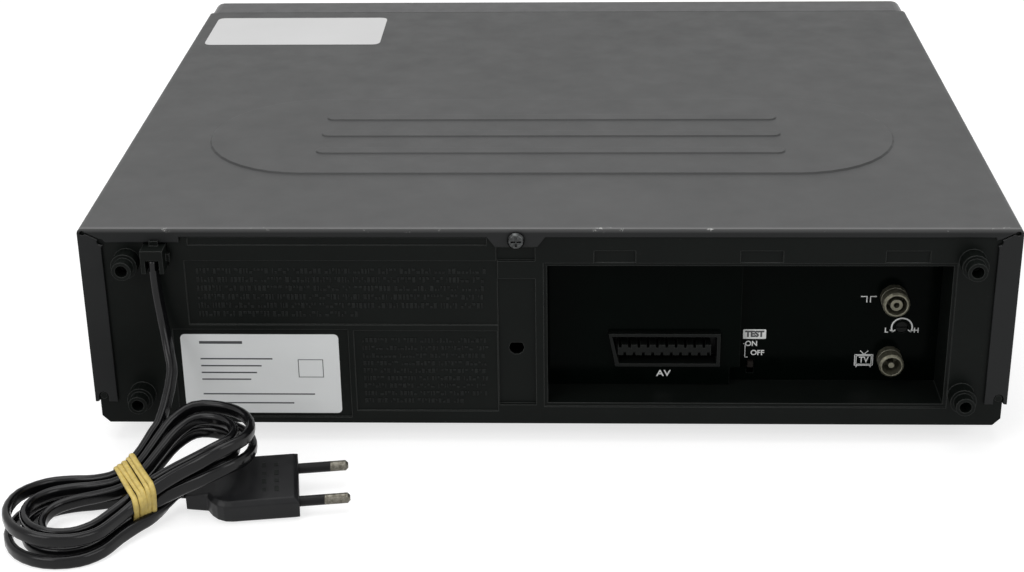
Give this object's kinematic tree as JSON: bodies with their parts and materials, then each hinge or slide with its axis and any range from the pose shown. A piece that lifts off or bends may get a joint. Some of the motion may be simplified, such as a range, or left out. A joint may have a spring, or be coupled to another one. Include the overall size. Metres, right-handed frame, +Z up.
{
  "type": "video cassette recorder",
  "caption": "Free-standing home video cassette recorder: folded steel cover, black case with rear sockets, front loading deck, and a mains cord wound in a banded hank ending in a flat plug.",
  "frame": {"origin": "on the floor, under the middle of the machine without its cord", "axes": "+X across the machine to the right seen from the front, +Y from the front to the rear, +Z up"},
  "size_m": [0.3788, 0.3907, 0.0952],
  "materials": {
    "cover": "satin dark grey paint on folded steel",
    "case": "fine grained black",
    "front": "satin black",
    "jack_plate": "glossy black",
    "steel": "bright zinc plating",
    "nickel": "dull tarnished nickel",
    "aluminium": "fine turned",
    "rubber": "matt black",
    "cord": "soft satin black",
    "plug": "moulded satin black",
    "band": "pale yellow",
    "window": "smoked, polished",
    "button": "satin dark grey",
    "board": "green resist",
    "gear": "natural white",
    "transformer": "varnished core and winding"
  },
  "bodies": {
    "recorder": {"bottom_case": "case", "foot_front_left": "rubber", "foot_front_right": "rubber", "foot_rear_left": "rubber", "foot_rear_right": "rubber", "top_cover": "cover", "cover_screw": "steel", "front_bezel": "front", "door_spring": "steel", "display_window": "window", "front_board": "board", "jack_plate": "jack_plate", "scart_socket": "jack_plate", "antenna_socket": "nickel", "tv_socket": "nickel", "main_board": "board", "mains_transformer": "transformer", "deck_chassis": "steel", "drum_lower": "aluminium", "drive_belt": "rubber", "loading_motor": "steel", "audio_head": "steel", "loader_bracket_left": "steel", "loader_bracket_right": "steel", "cord_gland": "plug", "power_cord": "cord", "cord_hank": "cord", "plug_lead": "cord", "rubber_band": "band", "plug_body": "plug", "plug_pin_left": "nickel", "plug_pin_right": "nickel"},
    "cassette_door": {"cassette_door": "front"},
    "power_button": {"power_button": "button"},
    "eject_button": {"eject_button": "button"},
    "channel_down_button": {"channel_down_button": "button"},
    "channel_up_button": {"channel_up_button": "button"},
    "rewind_button": {"rewind_button": "button"},
    "play_button": {"play_button": "button"},
    "forward_button": {"forward_button": "button"},
    "stop_button": {"stop_button": "button"},
    "record_button": {"record_button": "button"},
    "rf_trimmer": {"rf_trimmer": "gear"},
    "test_switch": {"test_switch": "button"},
    "drum_upper": {"drum_upper": "aluminium"},
    "capstan_flywheel": {"capstan_flywheel": "steel"},
    "clutch_pulley": {"clutch_pulley": "gear"},
    "supply_reel": {"supply_reel": "gear"},
    "takeup_reel": {"takeup_reel": "gear"},
    "idler_arm": {"idler_arm": "steel"},
    "idler_gear": {"idler_gear": "gear"},
    "pinch_arm": {"pinch_arm": "steel"},
    "pinch_roller": {"pinch_roller": "rubber"},
    "tension_arm": {"tension_arm": "steel"},
    "loading_post_left": {"loading_post_left": "steel"},
    "loading_post_right": {"loading_post_right": "steel"},
    "mode_cam": {"mode_cam": "gear"},
    "loading_pinion": {"loading_pinion": "gear"},
    "holder_yoke": {"holder_yoke": "steel"},
    "cassette_holder": {"cassette_holder": "steel"}
  },
  "joints": [
    {"name": "door_hinge", "type": "hinge", "parent": "recorder", "child": "cassette_door", "pos_m": [0, -0.1491, 0.0867], "axis": [1, 0, 0], "range_deg": [0, 90], "stiffness_Nm_per_rad": 0.006, "springref_deg": -20.05},
    {"name": "power_press", "type": "slide", "parent": "recorder", "child": "power_button", "axis": [0, 1, 0], "range_m": [0, 0.0008], "stiffness_N_per_m": 300},
    {"name": "eject_press", "type": "slide", "parent": "recorder", "child": "eject_button", "axis": [0, 1, 0], "range_m": [0, 0.0008], "stiffness_N_per_m": 300},
    {"name": "channel_down_press", "type": "slide", "parent": "recorder", "child": "channel_down_button", "axis": [0, 1, 0], "range_m": [0, 0.0008], "stiffness_N_per_m": 300},
    {"name": "channel_up_press", "type": "slide", "parent": "recorder", "child": "channel_up_button", "axis": [0, 1, 0], "range_m": [0, 0.0008], "stiffness_N_per_m": 300},
    {"name": "rewind_press", "type": "slide", "parent": "recorder", "child": "rewind_button", "axis": [0, 1, 0], "range_m": [0, 0.0008], "stiffness_N_per_m": 300},
    {"name": "play_press", "type": "slide", "parent": "recorder", "child": "play_button", "axis": [0, 1, 0], "range_m": [0, 0.0008], "stiffness_N_per_m": 300},
    {"name": "forward_press", "type": "slide", "parent": "recorder", "child": "forward_button", "axis": [0, 1, 0], "range_m": [0, 0.0008], "stiffness_N_per_m": 300},
    {"name": "stop_press", "type": "slide", "parent": "recorder", "child": "stop_button", "axis": [0, 1, 0], "range_m": [0, 0.0008], "stiffness_N_per_m": 300},
    {"name": "record_press", "type": "slide", "parent": "recorder", "child": "record_button", "axis": [0, 1, 0], "range_m": [0, 0.0008], "stiffness_N_per_m": 300},
    {"name": "trimmer_turn", "type": "hinge", "parent": "recorder", "child": "rf_trimmer", "pos_m": [-0.141, 0.1215, 0.0416], "axis": [0, 1, 0], "range_deg": [-135, 135]},
    {"name": "test_switch_slide", "type": "slide", "parent": "recorder", "child": "test_switch", "axis": [0, 0, 1], "range_m": [-0.003, 0]},
    {"name": "drum_spin", "type": "hinge", "parent": "recorder", "child": "drum_upper", "pos_m": [0, 0.08, 0.037], "axis": [-0.1045, 0, 0.9945], "continuous": true},
    {"name": "capstan_spin", "type": "hinge", "parent": "recorder", "child": "capstan_flywheel", "pos_m": [0.062, 0.054, 0.018], "axis": [0, 0, 1], "continuous": true},
    {"name": "clutch_spin", "type": "hinge", "parent": "recorder", "child": "clutch_pulley", "pos_m": [0, 0.022, 0.018], "axis": [0, 0, 1], "continuous": true},
    {"name": "supply_reel_spin", "type": "hinge", "parent": "recorder", "child": "supply_reel", "pos_m": [-0.046, -0.024, 0.0318], "axis": [0, 0, 1], "continuous": true},
    {"name": "takeup_reel_spin", "type": "hinge", "parent": "recorder", "child": "takeup_reel", "pos_m": [0.046, -0.024, 0.0318], "axis": [0, 0, 1], "continuous": true},
    {"name": "idler_swing", "type": "hinge", "parent": "recorder", "child": "idler_arm", "pos_m": [0, 0.022, 0.0318], "axis": [0, 0, 1], "range_deg": [-7.5, 7.5]},
    {"name": "idler_gear_spin", "type": "hinge", "parent": "idler_arm", "child": "idler_gear", "pos_m": [0, -0.018, 0.033], "axis": [0, 0, 1], "continuous": true},
    {"name": "pinch_swing", "type": "hinge", "parent": "recorder", "child": "pinch_arm", "pos_m": [0.088, 0.07, 0.0318], "axis": [0, 0, 1], "range_deg": [-39, 0]},
    {"name": "pinch_roller_spin", "type": "hinge", "parent": "pinch_arm", "child": "pinch_roller", "pos_m": [0.08136, 0.05103, 0.036], "axis": [0, 0, 1], "continuous": true},
    {"name": "tension_swing", "type": "hinge", "parent": "recorder", "child": "tension_arm", "pos_m": [-0.06, 0.004, 0.0318], "axis": [0, 0, 1], "range_deg": [-12, 12]},
    {"name": "left_post_slide", "type": "slide", "parent": "recorder", "child": "loading_post_left", "axis": [-0.2577, 0.9662, 0], "range_m": [0, 0.062]},
    {"name": "right_post_slide", "type": "slide", "parent": "recorder", "child": "loading_post_right", "axis": [0.2577, 0.9662, 0], "range_m": [0, 0.062]},
    {"name": "mode_cam_turn", "type": "hinge", "parent": "recorder", "child": "mode_cam", "pos_m": [-0.092, 0.06, 0.0318], "axis": [0, 0, 1], "range_deg": [0, 150]},
    {"name": "pinion_turn", "type": "hinge", "parent": "recorder", "child": "loading_pinion", "pos_m": [-0.092, 0.08425, 0.0318], "axis": [0, 0, 1], "range_deg": [-450, 0]},
    {"name": "yoke_slide", "type": "slide", "parent": "recorder", "child": "holder_yoke", "axis": [0, 1, 0], "range_m": [-0.045, 0]},
    {"name": "holder_lower", "type": "slide", "parent": "holder_yoke", "child": "cassette_holder", "axis": [0, 0, -1], "range_m": [0, 0.022]}
  ],
  "couplings": [
    {"joint": "clutch_spin", "follows": "capstan_spin", "ratio": 0.8},
    {"joint": "right_post_slide", "follows": "left_post_slide", "ratio": 1},
    {"joint": "pinion_turn", "follows": "mode_cam_turn", "ratio": -3}
  ]
}
